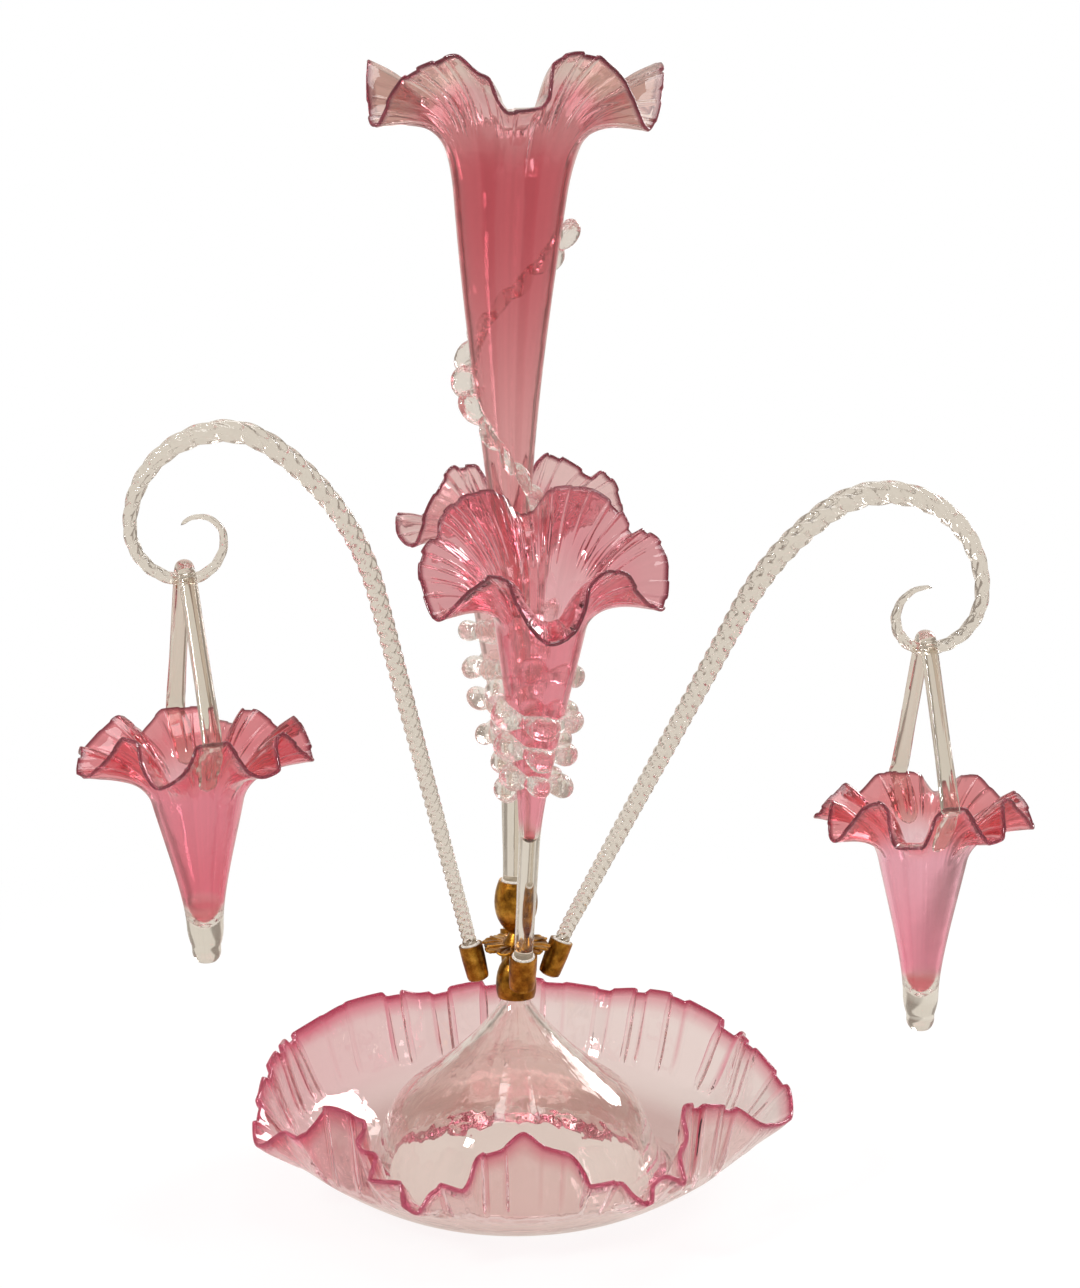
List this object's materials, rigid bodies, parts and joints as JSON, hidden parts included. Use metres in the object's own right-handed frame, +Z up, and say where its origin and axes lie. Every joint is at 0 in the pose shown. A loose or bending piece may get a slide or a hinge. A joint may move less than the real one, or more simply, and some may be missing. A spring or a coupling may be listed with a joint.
{
  "type": "glass flower epergne",
  "caption": "Table epergne for flowers: a frilled glass bowl carries a brass mount with lift-out glass trumpets and twisted canes that hold small hanging baskets.",
  "frame": {"origin": "on the table, under the centre line of the bowl", "axes": "+Z up, +X to the right and -Y to the front of the picture"},
  "size_m": [0.4504, 0.2572, 0.5321],
  "materials": {
    "clear_glass": "clear drawn and pressed glass, fire polished",
    "cranberry_glass": "blown glass, cranberry cased in clear, fire polished",
    "bowl_glass": "blown glass, clear in the middle and pink at the frilled edge",
    "aged_brass": "cast and drawn brass, aged brown",
    "plaster": "dry white plaster of Paris, matt"
  },
  "bodies": {
    "stand": {"base_bowl": "bowl_glass", "bowl_plaster": "plaster", "mount_cup": "aged_brass", "rosette": "aged_brass", "centre_holder": "aged_brass", "front_socket": "aged_brass", "back_socket": "aged_brass", "left_socket": "aged_brass", "right_socket": "aged_brass"},
    "centre_trumpet": {"centre_bell": "cranberry_glass", "centre_stem": "clear_glass", "centre_trail": "clear_glass", "centre_bush": "plaster"},
    "front_trumpet": {"front_bell": "cranberry_glass", "front_stem": "clear_glass", "front_trail": "clear_glass", "front_bush": "plaster"},
    "back_trumpet": {"back_bell": "cranberry_glass", "back_stem": "clear_glass", "back_trail": "clear_glass", "back_bush": "plaster"},
    "left_plug": {"left_bush": "plaster"},
    "left_arm": {"left_cane": "clear_glass"},
    "left_hanging_basket": {"left_basket": "cranberry_glass", "left_handle": "clear_glass", "left_knop": "clear_glass"},
    "right_plug": {"right_bush": "plaster"},
    "right_arm": {"right_cane": "clear_glass"},
    "right_hanging_basket": {"right_basket": "cranberry_glass", "right_handle": "clear_glass", "right_knop": "clear_glass"}
  },
  "joints": [
    {"name": "centre_trumpet_lift", "type": "slide", "parent": "stand", "child": "centre_trumpet", "axis": [0, 0, 1], "range_m": [0, 0.03]},
    {"name": "front_trumpet_lift", "type": "slide", "parent": "stand", "child": "front_trumpet", "axis": [0.0431, -0.2722, 0.9613], "range_m": [0, 0.03]},
    {"name": "back_trumpet_lift", "type": "slide", "parent": "stand", "child": "back_trumpet", "axis": [-0.0144, 0.2753, 0.9613], "range_m": [0, 0.03]},
    {"name": "left_cane_lift", "type": "slide", "parent": "stand", "child": "left_plug", "axis": [-0.2228, -0.0313, 0.9744], "range_m": [0, 0.03]},
    {"name": "left_cane_swivel", "type": "hinge", "parent": "left_plug", "child": "left_arm", "pos_m": [-0.02179, -0.00306, 0.1191], "axis": [-0.2228, -0.0313, 0.9744], "range_deg": [-25, 25]},
    {"name": "left_basket_swing", "type": "hinge", "parent": "left_arm", "child": "left_hanging_basket", "pos_m": [-0.15105, -0.02123, 0.29959], "axis": [-0.9903, -0.1392, 0], "range_deg": [-20, 20]},
    {"name": "right_cane_lift", "type": "slide", "parent": "stand", "child": "right_plug", "axis": [0.3549, 0.0499, 0.9336], "range_m": [0, 0.03]},
    {"name": "right_cane_swivel", "type": "hinge", "parent": "right_plug", "child": "right_arm", "pos_m": [0.02179, 0.00306, 0.1191], "axis": [0.3549, 0.0499, 0.9336], "range_deg": [-25, 25]},
    {"name": "right_basket_swing", "type": "hinge", "parent": "right_arm", "child": "right_hanging_basket", "pos_m": [0.1954, 0.02746, 0.25583], "axis": [0.9903, 0.1392, 0], "range_deg": [-20, 20]}
  ]
}
